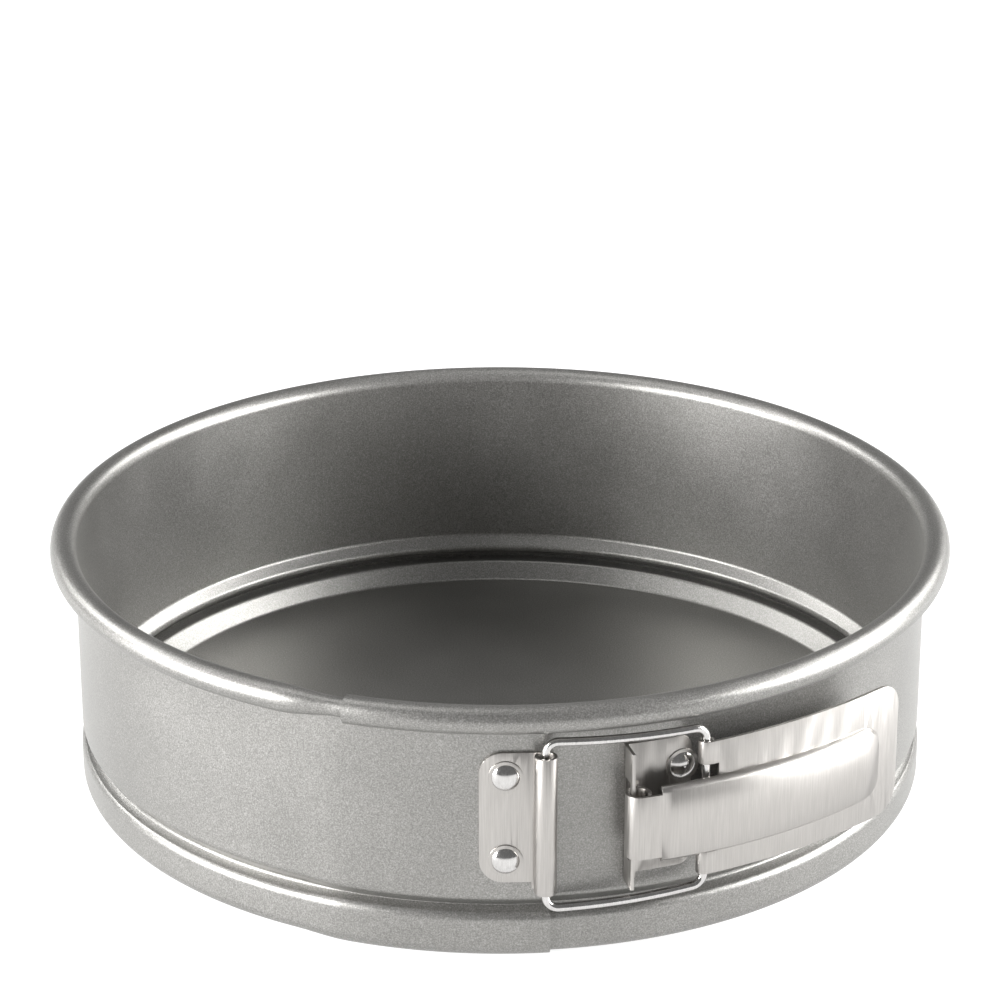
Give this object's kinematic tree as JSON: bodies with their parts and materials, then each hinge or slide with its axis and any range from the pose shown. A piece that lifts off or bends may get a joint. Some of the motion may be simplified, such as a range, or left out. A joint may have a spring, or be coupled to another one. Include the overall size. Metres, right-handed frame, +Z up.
{
  "type": "springform pan",
  "caption": "Round springform cake pan: elastic lapped side band with rolled rim and bead groove, lift-out base plate and lever latch with wire bail.",
  "frame": {"origin": "on the pan's axis, at the underside of the foot", "axes": "+Z up along the pan's axis, the latch at the front on -Y, its lever towards +X"},
  "size_m": [0.243, 0.243, 0.07],
  "materials": {
    "coated_steel": "silver-grey non-stick coat with a fine metallic grain",
    "latch_steel": "brushed stainless sheet",
    "wire_steel": "drawn and polished stainless"
  },
  "bodies": {
    "root": {"band": "coated_steel", "hinge_plate": "latch_steel", "hinge_rivet_upper": "wire_steel", "hinge_rivet_lower": "wire_steel"},
    "base": {"base_plate": "coated_steel"},
    "bail": {"wire_bail": "wire_steel"},
    "lever": {"lever": "latch_steel"},
    "free_end": {"lever_bracket": "latch_steel", "bracket_rivet_upper": "wire_steel", "bracket_rivet_lower": "wire_steel"}
  },
  "joints": [
    {"name": "bail_swing", "type": "hinge", "parent": "root", "child": "bail", "pos_m": [0.01115, -0.11797, 0.038], "axis": [0, 0, -1], "range_deg": [0, 30.25]},
    {"name": "lever_open", "type": "hinge", "parent": "bail", "child": "lever", "pos_m": [0.05035, -0.10948, 0.0389], "axis": [0, 0, -1], "range_deg": [0, 44.75]},
    {"name": "band_spread", "type": "hinge", "parent": "root", "child": "free_end", "pos_m": [0, 0, 0.038], "axis": [0, 0, 1], "range_deg": [0, 2.4], "deforming": ["band"]},
    {"name": "base_lift", "type": "slide", "parent": "root", "child": "base", "axis": [0, 0, 1], "range_m": [0, 0.08]}
  ],
  "couplings": [
    {"joint": "bail_swing", "follows": "lever_open", "ratio": 0.676},
    {"joint": "band_spread", "follows": "lever_open", "ratio": 0.0536}
  ]
}
